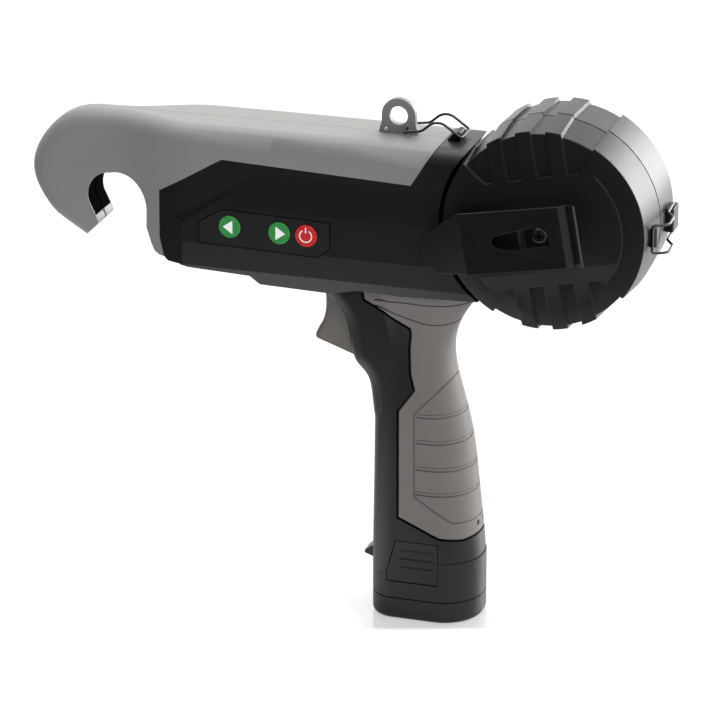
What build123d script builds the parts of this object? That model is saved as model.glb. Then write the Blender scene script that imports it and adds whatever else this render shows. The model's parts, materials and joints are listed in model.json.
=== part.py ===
from build123d import *
import os
from math import cos, radians, sin, sqrt, tan

# Electric vine tying tool, in millimetres. It stands on the battery's base, and the origin is on the underside
# of that base. +Z is up, the hooked nose points to -X, the wire reel is at +X, and the left side is at -Y.

os.makedirs("parts", exist_ok=True)

# Fits shared by all pieces
seam = 0.1              # half of the gap between two moulded halves
groove = 0.3            # visible line between the grey casing and the black one
fit = 0.3               # clearance of pieces that seat in or move past one another
running = 0.06          # radial clearance of a shaft in its hole
wall = 2.5              # casing wall

# Casing
body_half_width = 24.0
hook_half_width = 11.0
flare_start_x = -168.0
flare_end_x = -116.0
body_top_z = 250.5
body_low_z = 171.4
shoulder_radius = 9.5
bevel_width = 3.1       # of the casing's long lower edges
bevel_rise = 8.2
plateau_height = 1.2
plateau_slope = 66.0    # degrees of taper round the raised side
plateau_root = 0.5      # depth of the raised side's foot in the casing
plateau_fade_z = (212.0, 230.0)  # the raised side falls back to the casing between these levels
fold_z = 191.5          # below this level the raised side leans in
fold_lean = 0.113       # per millimetre

# Jaw opening and hook
jaw_x = -160.25
jaw_z = 205.0
jaw_half_width = 16.85
jaw_rise = 13.5
hook_depth = 31.3       # from the jaw to the front of the nose
liner_thickness = 2.5
liner_half_width = 10.4
liner_end_rise = 3.6    # from the hook's inner corner to the end of its liner
wire_groove = 2.0       # width of the channel round the hook's inside
wire_groove_depth = 1.3
tip_round = 2.2

# Reel drum
reel_x = 62.5
reel_z = 216.0
reel_seam_radius = 52.1
reel_face_radius = 41.0
reel_edge_radius = 50.1
reel_edge_y = 25.0
reel_face_y = 27.0
case_edge_radius = 51.0  # the right half is a little deeper than the cover
case_edge_y = 30.0
case_face_y = 32.0
reel_wall = 2.6
reel_gap = 0.5          # from the mid plane to the cover's edge
face_recess = 1.0       # of the face between the ribs
flute_depth = 1.6
flute_half_span = 41.0  # degrees each side of the top and bottom rib
rib_pitch = 17.5        # degrees
rib_width = 7.8
rib_shift = -0.7         # of the ribs along the face
rib_end = 27.0          # where a rib ends on the face, from the reel's axis
reel_tilt = 12.0        # degrees that the face pattern is turned, rear end up
band_half_height = 18.0
band_bevel = 9.0
band_height = 1.8

cover_boss_y = 22.2     # inner end of the boss for the belt hook's screw
cover_boss_radius = 6.0
lip_depth = 4.0
lip_reach = 2.5
lip_thickness = 1.4

# Spool, spindle and winding
spindle_radius = 5.0
spindle_end_y = 21.7
spindle_flange_radius = 10.0
spool_half_width = 19.0
spool_flange = 1.8
spool_radius = 40.5
hub_radius = 14.0
winding_radius = 36.0
spool_window_place = 28.5
spool_window_radius = 6.5
nut_radius = 8.5
nut_thickness = 2.2

# Handle levels: height, front, rear and half depth
handle_levels = [
    (22.0, -27.0, 27.4, 21.9),
    (45.0, -27.0, 27.1, 21.5),
    (66.0, -27.0, 24.8, 20.4),
    (92.0, -27.0, 21.8, 19.4),
    (118.0, -27.0, 15.8, 18.2),
    (143.0, -27.0, 11.5, 17.2),
    (160.0, -27.0, 16.8, 18.0),
    (178.0, -27.0, 29.2, 20.5),
]
front_corner = 13.0
corner_margin = 1.4     # flat left at mid depth between the two rear corners
grip_thickness = 2.0
grip_gap = 1.4          # channel round the edge of the soft grip
handle_wall = 2.2

# Battery
battery_ends = (-27.0, 28.4)
battery_half_depth = 22.0
base_height = 12.0
base_groove = 0.4       # shadow line between the base and the case
base_round = 3.0
front_seam_z = 24.0
rear_seam_z = 33.0
seam_step_x = -15.0
stem_top_z = 92.0
stem_front = -22.0
stem_rear = 16.0
stem_half_depth = 14.4
stem_corner = 12.4
cap_thickness = 4.0
contact_places = (-8.0, 2.0)
contact_half = (0.8, 4.0)
contact_height = 6.0
terminal_gap = 0.8
terminal_inset = 1.9
terminal_height = 9.0
cell_radius = 8.2
cell_length = 65.0
cell_pitch = 17.0
base_wall = 2.6
base_screw_x = 17.0
base_screw_y = 12.0
base_screw_head_z = 5.0
base_screw_length = 14.0
cell_board_z = 6.5
cell_board_half = (12.0, 8.0)
cell_board_post = 9.0
tab_low_z = 21.0
tab_top_z = 43.0
tab_front = -16.6
tab_front_top = -11.8
tab_rear = 10.0
tab_thickness = 2.4
tab_room = 2.6          # space behind a tab for its travel
tab_inner_y = battery_half_depth - tab_thickness - tab_room
tab_outer_y = battery_half_depth - 0.3
tab_ridges = (28.5, 33.0, 37.5)
tab_ridge_half = 0.8
tab_ridge_height = 0.6
tab_pivot_z = 22.3
tab_pivot_in = 1.8      # of the tab's hinge, from the battery's side
tab_pin_radius = 0.7
tab_pin_reach = 1.6

# Two strap holes in the foot of the grip's back, and a small lug at the front of the handle's foot
strap_hole_y = 4.3
strap_hole_z = 51.0
strap_hole_radius = 1.5
strap_hole_x = (18.0, 40.0)
foot_lug = [(-24.0, 33.0), (-27.2, 33.0), (-33.3, 28.4), (-33.3, 27.0), (-27.2, 24.8), (-24.0, 24.8)]
foot_lug_half_width = 5.0

# Trigger
trigger_half_width = 7.5
trigger_travel = 5.0

# Panel and buttons
panel_thickness = 1.6
panel_gap = 0.45        # groove round the panel
panel_lip = 2.0
button_radius = 5.6
button_flange = 0.5
button_flange_thickness = 1.1
button_proud = 0.7
button_places = [
    ("back_button", -96.7, 201.8),
    ("forward_button", -71.0, 201.2),
    ("power_button", -57.1, 201.2),
]
board_gap = 4.2         # from the panel's back to the circuit board
board_thickness = 1.6
button_travel = 0.8
tact_half = 3.0
post_radius = 1.5
panel_posts = [(-108.5, 195.5), (-107.0, 202.0), (-64.0, 194.2), (-49.0, 204.5)]

# Wire latches
wire_radius = 0.65
eye_x = -17.2
eye_z = 259.5
eye_radius = 8.6
eye_hole_radius = 4.7
eye_half_thickness = 1.6
eye_foot_flare = 1.3    # how far the foot spreads past the ring's straight sides
eye_foot_top_z = 255.8
eye_foot_low_z = 251.4  # below this the foot's ends are upright
eye_tenon_low_z = 245.3
eye_tenon_foot_half = 4.4
eye_spare_hole = (-23.6, 252.4)
eye_spare_radius = 1.0
eye_boss_radius = 1.9
eye_boss_half = 2.1
front_pivot = (-12.6, 253.4)
front_bail_corners = [(-3.8, 254.5), (4.2, 261.5), (16.4, 252.9)]
front_bends = [0.9, 6.0, 7.0, 1.6]
front_bail_half = 7.5
front_pin_reach = 0.5   # how near the tool's mid plane the bail's bent ends come
front_catch_x = (8.6, 15.2)
front_catch_ramp_x = 12.2
front_catch_z = (251.0, 255.0)
front_catch_half = 4.8
rear_latch_z = 214.8
rear_pivot = (116.3, 18.5)
rear_bail_corners = [(117.0, 4.3), (121.2, -2.4), (121.8, -14.2), (114.6, -17.2)]
rear_bends = [0.9, 2.0, 2.0, 5.0, 1.6]
rear_bail_half = 7.0
rear_pin_reach = 3.0
rear_lug_x = 118.0
rear_lug_y = (12.0, 23.4)
rear_lug_half = 6.0
rear_lug_round = 1.4
rear_catch_x = 116.2
rear_catch_y = (-15.9, -9.0)
rear_catch_bevel = 1.4
rear_catch_half = 4.8
latch_root_x = reel_x + 40.0  # inside the drum, where the latch's blocks are cut to its surface

# Belt hook: its sheet in edge view as distance along the face and Y, then its plan on the face
sheet = 1.5
hook_tilt = 10.0        # degrees, rear end up
hook_plate_y = 40.0     # middle of the outer leaf, from the tool's mid plane
hook_front_u = -60.4
hook_bend_u = -35.8
hook_top_v = 16.3
hook_low_v = -14.6
inner_leaf_start_u = -54.0
inner_leaf_end_u = 9.0
inner_leaf_v = (-6.4, 9.0)
inner_leaf_step = 2.4   # the inner leaf stands off the drum in front of its screw
inner_step_u = (-10.6, -7.8)
hook_path = [
    (22.0, -hook_plate_y - 1.0),
    (17.4, -hook_plate_y + 2.8),
    (13.2, -hook_plate_y),
    (hook_bend_u, -hook_plate_y),
    (hook_front_u + 0.4, -hook_plate_y + 9.6),
]
hook_plan = [
    (30.0, hook_top_v),
    (hook_bend_u - 1.5, hook_top_v),
    (hook_front_u, 3.0),
    (hook_front_u, -11.3),
    (-53.0, hook_low_v),
    (30.0, hook_low_v),
]
hook_window = [(-18.4, 0.8, 3.2), (0.2, -0.3, 7.2)]
hook_screw_radius = 1.9
hook_screw_head = 3.6
hook_screw_height = 2.2
hook_screw_tip_y = 23.2

# Mechanism
wire_line_z = 232.3
twist_axis_z = 197.0
twist_motor_radius = 11.5
twist_motor_x = (-112.0, -56.0)
feed_motor_radius = 9.5
feed_motor_y = 10.0
feed_motor_z = 219.5
feed_motor_x = (-80.0, -32.0)
motor_shaft_radius = 1.5
gearbox_x = (-31.7, -5.0)
gearbox_y = (3.5, body_half_width - wall - fit)
gearbox_z = (211.0, 231.6)
roller_x = -14.0
drive_roller_radius = 8.0
pinch_roller_radius = 6.0
roller_y = (-4.0, 3.2)
roller_shaft_radius = 2.5
pinch_pin_radius = 1.5
strand_start_x = -158.0
strand_gap = 0.4        # from the strand's end to the winding
tie_wire_radius = 0.3
roller_gap = 0.08       # between the tie wire and each roller
guide_radius = 1.6
guide_bore = 0.7
guide_x = (-146.0, -24.0)
twister_head_radius = 5.2
twister_head_x = (jaw_x + jaw_half_width + 0.4, jaw_x + jaw_half_width + 5.0)
twister_shaft_radius = 3.0
bush_radius = 7.0
bush_x = (-133.0, -127.0)
blade_x = (-150.4, -147.4)
screw_radius = 1.5
screw_head_radius = 2.8
screw_head_height = 1.8
post_wall = 2.2
rib_thickness = 2.0
rib_half_width = 14.0
rib_tops = [(-130.0, 204.0), (-100.0, 209.0), (-66.0, 226.0), (-46.0, 226.0), (-18.0, 210.7)]
# Casing screws: X, Z, then the Y of the tip and of the head's underside
housing_screw_places = [
    (-122.0, 187.0, -10.0, 12.0),
    (-36.0, 181.0, -10.0, 13.0),
    (0.0, 186.0, -10.0, 13.0),
    (-12.0, 122.0, -8.0, 9.0),
]
nose_screw_places = [(-190.0, 226.0, -7.0, 6.5), (-118.0, 241.5, -10.0, 13.0), (-50.0, 243.0, -10.0, 13.0)]
reel_screw_y = 15.0
reel_screw_levels = (reel_z - 7.0, reel_z + 7.0)
reel_screw_tip_x = 3.0
reel_screw_head_x = 16.8
reel_screw_head_height = 1.2
wire_hole_radius = 2.0
blade_half_width = 4.0
blade_z = (228.0, 237.0)
eye_tenon_x = (-24.0, -11.0)

face_plane = Plane(
    origin=(reel_x, 0, reel_z),
    x_dir=(cos(radians(reel_tilt)), 0, sin(radians(reel_tilt))),
    z_dir=(0, -1, 0),
)
hook_plane = Plane(
    origin=(reel_x, 0, reel_z),
    x_dir=(cos(radians(hook_tilt)), 0, sin(radians(hook_tilt))),
    z_dir=(0, -1, 0),
)
leaf_plane = Plane(
    origin=(reel_x, 0, reel_z),
    x_dir=(cos(radians(hook_tilt)), 0, sin(radians(hook_tilt))),
    z_dir=(-sin(radians(hook_tilt)), 0, cos(radians(hook_tilt))),
)
band_plane = Plane(
    origin=(reel_x, 0, reel_z),
    x_dir=(-sin(radians(reel_tilt)), 0, cos(radians(reel_tilt))),
    z_dir=(cos(radians(reel_tilt)), 0, sin(radians(reel_tilt))),
)
reel_axis = Axis((reel_x, 0, reel_z), (0, 1, 0))
reel_section = Plane(origin=(reel_x, 0, reel_z), x_dir=(1, 0, 0), z_dir=(0, 0, 1))


def save(builder, name):
    """Label one finished piece and write its file."""
    builder.part.label = name
    export_step(builder.part, f"parts/{name}.step")


def round_bar(plane, radius, start, end, mode=Mode.ADD):
    """Round bar along a plane's normal, from one distance to another."""
    with BuildSketch(plane.offset(start)) as profile:
        Circle(radius)
    extrude(profile.sketch, amount=end - start, mode=mode)


def across(x, z):
    """Plane for a round feature along the tool's width, with distances counted towards +Y."""
    return Plane(origin=(x, 0, z), x_dir=(1, 0, 0), z_dir=(0, 1, 0))


def along(y, z):
    """Plane for a round feature along the tool's length, with distances counted as X."""
    return Plane(origin=(0, y, z), x_dir=(0, 1, 0), z_dir=(1, 0, 0))


def block(x, y, z, mode=Mode.ADD):
    """Box between pairs of X, Y and Z limits."""
    with BuildSketch(Plane.XY.offset(z[0])) as profile:
        with Locations(((x[0] + x[1]) / 2, (y[0] + y[1]) / 2)):
            Rectangle(x[1] - x[0], y[1] - y[0])
    extrude(profile.sketch, amount=z[1] - z[0], mode=mode)


def side_prism(points, y, mode=Mode.ADD, grow=0.0):
    """Prism of a side-view outline, grown by a margin, between a pair of Y limits."""
    with BuildSketch(Plane.XZ.offset(-y[1])) as profile:
        with BuildLine():
            Polyline(*points, close=True)
        make_face()
        if grow:
            offset(amount=grow, kind=Kind.INTERSECTION)
    extrude(profile.sketch, amount=y[1] - y[0], mode=mode)


def handle_loft(inset, mode=Mode.ADD):
    """Handle body drawn in by an inset all round: tight front corners, rounder rear ones."""
    levels = []
    for z, front, rear, half_depth in handle_levels:
        depth = half_depth - inset
        tight = min(front_corner, depth - corner_margin)
        with BuildSketch(Plane.XY.offset(z)) as level:
            with BuildLine():
                FilletPolyline(
                    (front + inset, -depth),
                    (rear - inset, -depth),
                    (rear - inset, depth),
                    (front + inset, depth),
                    radius=[tight, depth - corner_margin, depth - corner_margin, tight],
                    close=True,
                )
            make_face()
        levels.append(level.sketch)
    loft(levels, mode=mode)


def battery_section(z, inset=0.0):
    """Battery outline at one height, drawn in by an inset."""
    front = battery_ends[0] + inset
    rear = battery_ends[1] - inset
    depth = battery_half_depth - inset
    with BuildSketch(Plane.XY.offset(z)) as level:
        with BuildLine():
            FilletPolyline(
                (front, -depth),
                (rear, -depth),
                (rear, depth),
                (front, depth),
                radius=[front_corner, depth - corner_margin, depth - corner_margin, front_corner],
                close=True,
            )
        make_face()
    return level.sketch


def tab_prism(y, grow, mode=Mode.ADD):
    """Outline of a release tab, grown by a clearance, between a pair of Y limits."""
    points = [
        (tab_front - grow, tab_low_z - grow),
        (tab_front - grow, 26.0),
        (tab_front_top - grow, tab_top_z + grow),
        (tab_rear + grow, tab_top_z + grow),
        (tab_rear + grow, tab_low_z - grow),
    ]
    side_prism(points, y, mode)


# Casing: side outline without the jaw
hook_top = (jaw_x - 11.7, body_top_z - 0.9)
jaw_left = (jaw_x - jaw_half_width, jaw_z)
jaw_crown = (jaw_x - 4.4, jaw_z + jaw_rise)
jaw_right = (jaw_x + jaw_half_width, jaw_z - 2.0)
nose_front = (jaw_left[0] - hook_depth, jaw_z + 9.0)
nose_shoulder = (nose_front[0] + 9.4, jaw_z + 32.6)
nose_low = (nose_front[0] + 8.2, jaw_z - 8.4)
tip = (jaw_left[0] - 3.4, jaw_z - 22.8)
tip_inner = (jaw_left[0] + 5.8, jaw_z - 13.5)
chin = (jaw_right[0] + 7.6, jaw_z - 23.7)
rear_x = reel_x - 26.0
under_jaw_z = body_low_z - 20

body_outline_low = [
    (rear_x, body_low_z + 4.0),
    (-10.0, body_low_z + 2.0),
    (-32.0, body_low_z + 2.8),
    (-46.0, body_low_z - 0.7),
    (-82.6, body_low_z + 0.3),
    (-87.6, body_low_z + 4.8),
    (-119.8, body_low_z + 6.2),
    (-124.5, body_low_z + 7.6),
    (-130.8, body_low_z + 8.0),
    (-132.7, chin[1] - 0.2),
    chin,
    (jaw_x + 1.0, tip[1] - 14.0),
    tip,
]


def long_cut(section):
    """Cut both sides of the casing along its length, by a section given as Y and Z."""
    for side in (1, -1):
        with BuildSketch(Plane.YZ.offset(-150.0)) as profile:
            with BuildLine():
                Polyline(*[(side * y, z) for y, z in section], close=True)
            make_face()
        extrude(profile.sketch, amount=200, mode=Mode.SUBTRACT)


def underside_bevels(inset=0.0):
    """Cut the casing's long lower edges, drawn in by an inset."""
    slope = bevel_rise / bevel_width
    outside = body_half_width + 3
    long_cut([
        (outside, body_low_z + bevel_rise + (3 + inset) * slope),
        (outside, body_low_z - 12),
        (body_half_width - inset - bevel_width - 12 / slope, body_low_z - 12),
    ])


with BuildPart() as body_form:
    with BuildSketch(Plane.XZ):
        with BuildLine():
            top_line = ThreePointArc((rear_x, body_top_z - 0.4), (-68.0, body_top_z - 0.1), hook_top)
            Spline(
                hook_top,
                nose_shoulder,
                nose_front,
                nose_low,
                tip,
                tangents=[top_line % 1, (9.0, -5.6)],
            )
            Polyline(*reversed(body_outline_low))
            Line(body_outline_low[0], (rear_x, body_top_z - 0.4))
        make_face()
    extrude(amount=body_half_width, both=True)
    # Plan view: the slim hook flares into the body
    with BuildSketch(Plane.XY.offset(body_low_z - 30)):
        with BuildLine():
            for side in (1, -1):
                Line((nose_front[0] - 5, side * hook_half_width), (flare_start_x, side * hook_half_width))
                Spline(
                    (flare_start_x, side * hook_half_width),
                    (flare_end_x, side * body_half_width),
                    tangents=[(1, 0), (1, 0)],
                )
                Line((flare_end_x, side * body_half_width), (rear_x + 5, side * body_half_width))
            Line((rear_x + 5, body_half_width), (rear_x + 5, -body_half_width))
            Line((nose_front[0] - 5, hook_half_width), (nose_front[0] - 5, -hook_half_width))
        make_face()
    extrude(amount=body_top_z - body_low_z + 60, mode=Mode.INTERSECT)
    shoulder = (
        body_form.edges()
        .filter_by(Axis.Z, reverse=True)
        .filter_by(Axis.Y, reverse=True)
        .filter_by(lambda edge: edge.center().Z > jaw_z - 5)
    )
    fillet(shoulder, radius=shoulder_radius)
    underside_bevels()


def jaw_profile(grow=0.0):
    """Side view of the jaw opening, grown by a margin."""
    with BuildSketch(Plane.XZ) as profile:
        with BuildLine():
            Polyline(
                jaw_right,
                (jaw_right[0] - 0.3, jaw_z - 11.0),
                (jaw_right[0] + 2.6, jaw_z - 18.6),
                (jaw_right[0] + 4.6, jaw_z - 22.2),
                chin,
                (chin[0], under_jaw_z),
                (tip[0], under_jaw_z),
                tip,
                tip_inner,
                (jaw_left[0] + 0.7, jaw_z - 2.6),
            )
            ThreePointArc(
                (jaw_left[0] + 0.7, jaw_z - 2.6),
                (jaw_left[0] + 3.6, jaw_z + 9.6),
                jaw_crown,
            )
            ThreePointArc(jaw_crown, (jaw_right[0] - 4.2, jaw_z + 8.6), jaw_right)
        make_face()
        fillet(profile.vertices().sort_by_distance(tip_inner)[0], radius=tip_round)
        if grow:
            offset(amount=grow, kind=Kind.INTERSECTION)
    return profile.sketch


with BuildPart() as jaw_void:
    extrude(jaw_profile(), amount=body_half_width + 5, both=True)

# Insert that lines the inside of the hook, with a channel for the wire
hook_inside_x = (jaw_left[0] - 6, jaw_crown[0] - 2)
liner_z = (tip_inner[1] + liner_end_rise, jaw_crown[1] + 6)
tip_z = (tip[1], liner_z[0] + 1)


def hook_band(thickness, half_width, levels):
    """Band along the inside of the hook, between two levels."""
    extrude(jaw_profile(thickness), amount=half_width, both=True)
    block(hook_inside_x, (-half_width, half_width), levels, Mode.INTERSECT)
    extrude(jaw_profile(), amount=half_width + 1, both=True, mode=Mode.SUBTRACT)


# Side view of the black region; the grey casing takes the rest
black_line = [
    (-132.8, under_jaw_z),
    (-132.8, chin[1]),
    (-135.2, 191.0),
    (-135.0, 215.0),
    (-101.0, 235.3),
    (-4.0, 231.6),
    (9.5, body_top_z + 3),
    (rear_x + 20, body_top_z + 3),
    (rear_x + 20, under_jaw_z),
]

# Hollow of the casing, kept clear of the reel's saddle
front_wall_x = jaw_right[0] + 3.9
cavity_outline = [
    (-128.0, body_low_z + 12.0),
    (front_wall_x + 2.0, jaw_z - 13.0),
    (front_wall_x, jaw_z + 2.0),
    (front_wall_x + 1.5, jaw_z + 14.0),
    (front_wall_x + 0.5, body_top_z - 7.0),
    (-66.0, body_top_z - wall),
    (rear_x, body_top_z - wall),
    (rear_x, body_low_z + 7.0),
    (-10.0, body_low_z + 5.0),
    (-32.0, body_low_z + 5.6),
    (-46.0, body_low_z + 2.2),
    (-81.0, body_low_z + 3.0),
    (-86.0, body_low_z + 7.6),
    (-117.5, body_low_z + 9.0),
    (-123.0, body_low_z + 10.8),
]
with BuildPart() as cavity:
    side_prism(cavity_outline, (-body_half_width, body_half_width))
    with BuildSketch(Plane.XY.offset(body_low_z)):
        with BuildLine():
            Polyline(
                (-145.0, hook_half_width - wall),
                (flare_end_x, body_half_width - wall - 0.5),
                (rear_x, body_half_width - wall),
                (rear_x, wall - body_half_width),
                (flare_end_x, wall + 0.5 - body_half_width),
                (-145.0, wall - hook_half_width),
                close=True,
            )
        make_face()
    extrude(amount=body_top_z - body_low_z, mode=Mode.INTERSECT)
    underside_bevels(wall + 0.2)
    # Shoulder of the top
    shoulder = cavity.edges().filter_by(lambda e: e.center().Z > body_top_z - 9 and abs(e.center().Y) > 5)
    chamfer(shoulder.filter_by(Axis.Y, reverse=True).filter_by(Axis.Z, reverse=True), length=5.0)
    round_bar(
        across(reel_x, reel_z),
        reel_seam_radius + fit + wall,
        -body_half_width,
        body_half_width,
        Mode.SUBTRACT,
    )

with BuildPart() as handle_form:
    handle_loft(0.0)
with BuildPart() as handle_core:
    handle_loft(grip_thickness)
with BuildPart() as handle_hollow:
    handle_loft(grip_thickness + handle_wall)

# Panel outline, buttons and plateau on the left side
plateau_y = body_half_width + plateau_height
panel_outline = [
    (-113.2, 203.0),
    (-100.6, 210.6),
    (-44.8, 209.2),
    (-44.8, 195.4),
    (-51.5, 190.2),
    (-113.2, 191.8),
]
plateau_outline = [
    (-125.9, 203.7),
    (-84.2, 230.5),
    (rear_x, 230.5),
    (rear_x, body_low_z - 6.0),
    (-120.1, body_low_z - 6.0),
    (-124.0, body_low_z + 11.0),
    (-125.9, 193.5),
]

# Grey soft grip: side view of its edge
grip_outline = [
    (-30.5, 174.6),
    (-29.5, 168.5),
    (-5.5, 156.0),
    (-5.0, 152.4),
    (-5.8, 144.4),
    (-5.2, 131.3),
    (-3.0, 123.3),
    (-11.2, 111.7),
    (-10.4, 56.0),
    (10.8, 47.0),
    (21.5, 45.8),
    (45.0, 50.0),
    (45.0, 176.0),
]

# Front of the handle around the trigger, from the body down to the plain handle
guard_curve = [
    (-56.0, body_low_z + 5.0),
    (-47.8, 164.3),
    (-42.6, 157.6),
    (-39.8, 148.0),
    (-38.4, 139.5),
    (-35.9, 132.8),
    (-30.6, 126.8),
    (-28.2, 119.0),
    (-26.6, 106.0),
]
guard_back_x = -12.0
guard_half_width = 17.0
guard_round = 8.5


def guard_form(inset):
    """Front of the handle round the trigger, drawn in at its sides by an inset."""
    with BuildPart() as guard:
        with BuildSketch(Plane.XZ):
            with BuildLine():
                Spline(*guard_curve)
                Polyline(
                    guard_curve[-1],
                    (guard_back_x, guard_curve[-1][1]),
                    (guard_back_x, guard_curve[0][1]),
                    guard_curve[0],
                )
            make_face()
        extrude(amount=guard_half_width - inset, both=True)
        fillet(guard.edges().filter_by(GeomType.BSPLINE), radius=guard_round)
    return guard.part


with BuildPart() as handle_outer:
    add(handle_form.part)
    add(guard_form(0.0))
with BuildPart() as handle_inner:
    add(handle_core.part)
    add(guard_form(grip_thickness))
with BuildPart() as handle:
    add(handle_outer.part)
    side_prism(grip_outline, (-40, 40), Mode.SUBTRACT, grip_gap)
    add(handle_inner.part)

# Trigger, its slot and the pocket that keeps it from falling out
trigger_front = [(-53.8, 166.0), (-53.6, 157.0), (-55.2, 150.4), (-57.7, 145.8), (-58.8, 143.0)]
trigger_toe = (-58.0, 141.8)
trigger_heel_x = -36.4
trigger_low_z = 134.3
trigger_back_x = -31.0
trigger_top_z = trigger_front[0][1]
trigger_ear_half = 10.0
trigger_ear_x = (trigger_back_x - 2.8, trigger_back_x - 0.8)
trigger_ear_z = (139.0, 161.0)
trigger_stem_radius = 2.0
trigger_stem_z = 150.0
switch_front_x = -20.0

with BuildPart() as trigger:
    with BuildSketch(Plane.XZ):
        with BuildLine():
            Spline(*trigger_front)
            Polyline(
                trigger_front[-1],
                trigger_toe,
                (trigger_heel_x, trigger_low_z),
                (trigger_back_x, trigger_low_z),
                (trigger_back_x, trigger_top_z),
                trigger_front[0],
            )
        make_face()
    extrude(amount=trigger_half_width, both=True)
    fillet(trigger.edges().filter_by(GeomType.BSPLINE), radius=3.0)
    block(trigger_ear_x, (-trigger_ear_half, trigger_ear_half), trigger_ear_z)
    round_bar(along(0, trigger_stem_z), trigger_stem_radius, trigger_back_x - 1, switch_front_x + 0.6)
save(trigger, "trigger")

with BuildPart() as trigger_switch:
    block((switch_front_x, -4.0), (-8.0, 8.0), (138.0, 160.0))
    block((-10.0, -4.0), (-12.6, 12.6), (140.0, 158.0))
    round_bar(
        along(0, trigger_stem_z),
        trigger_stem_radius + fit,
        switch_front_x - 1,
        switch_front_x + trigger_travel + 1.4,
        Mode.SUBTRACT,
    )
save(trigger_switch, "trigger_switch")

# Ribs that cradle the motors, a shelf for the feed gearbox, and posts for the screws
with BuildPart() as ribs:
    for x, top in rib_tops:
        rib_x = (x - rib_thickness / 2, x + rib_thickness / 2)
        block(rib_x, (-rib_half_width, rib_half_width), (body_low_z, top))
    block(
        (gearbox_x[0] + 2, gearbox_x[1]),
        (-body_half_width, body_half_width),
        (gearbox_z[0] - rib_thickness - 0.1, gearbox_z[0] - 0.1),
    )
    for x, z, tip_y, head_y in housing_screw_places:
        round_bar(across(x, z), screw_radius + post_wall, -body_half_width, body_half_width)
    # Bosses for the two screws that hold the reel
    block((-2.0, 14.0), (reel_screw_y - 5, body_half_width), (reel_z - 12, reel_z + 12))
    with BuildPart(mode=Mode.PRIVATE) as hollows:
        add(cavity.part)
        add(handle_hollow.part)
    add(hollows.part, mode=Mode.INTERSECT)
    round_bar(along(0, twist_axis_z), twist_motor_radius + 0.05, *twist_motor_x, Mode.SUBTRACT)
    round_bar(along(0, twist_axis_z), bush_radius + 0.05, *bush_x, Mode.SUBTRACT)
    round_bar(along(0, twist_axis_z), twister_shaft_radius + fit, -140, twist_motor_x[0] + 1, Mode.SUBTRACT)
    round_bar(along(feed_motor_y, feed_motor_z), feed_motor_radius + 0.05, *feed_motor_x, Mode.SUBTRACT)


def screw_holes(places):
    """Holes for casing screws, with a counterbore from the right side."""
    for x, z, tip_y, head_y in places:
        round_bar(across(x, z), screw_radius + running, tip_y - 1, head_y + 1, Mode.SUBTRACT)
        round_bar(across(x, z), screw_head_radius + fit, head_y, 40, Mode.SUBTRACT)


def screws(places):
    """Casing screws with round heads and a slot."""
    for x, z, tip_y, head_y in places:
        round_bar(across(x, z), screw_radius, tip_y, head_y)
        round_bar(across(x, z), screw_head_radius, head_y, head_y + screw_head_height)
        for slot in ((0.4, 1.7), (1.7, 0.4)):
            block(
                (x - slot[0], x + slot[0]),
                (head_y + 0.7, head_y + 5),
                (z - slot[1], z + slot[1]),
                Mode.SUBTRACT,
            )


panel_back_y = plateau_y - panel_thickness

# Raised sides of the casing: they fade out towards the top and lean in below the fold
with BuildPart() as raised_sides:
    for side in (1, -1):
        with BuildSketch(Plane.XZ.offset(side * (body_half_width - plateau_root))):
            with BuildLine():
                Polyline(*plateau_outline, close=True)
            make_face()
        extrude(amount=side * (plateau_height + plateau_root), taper=plateau_slope)
    long_cut([
        (plateau_y, plateau_fade_z[0]),
        (body_half_width, plateau_fade_z[1]),
        (body_half_width, body_top_z),
        (plateau_y + 5, body_top_z),
        (plateau_y + 5, plateau_fade_z[0]),
    ])

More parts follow.
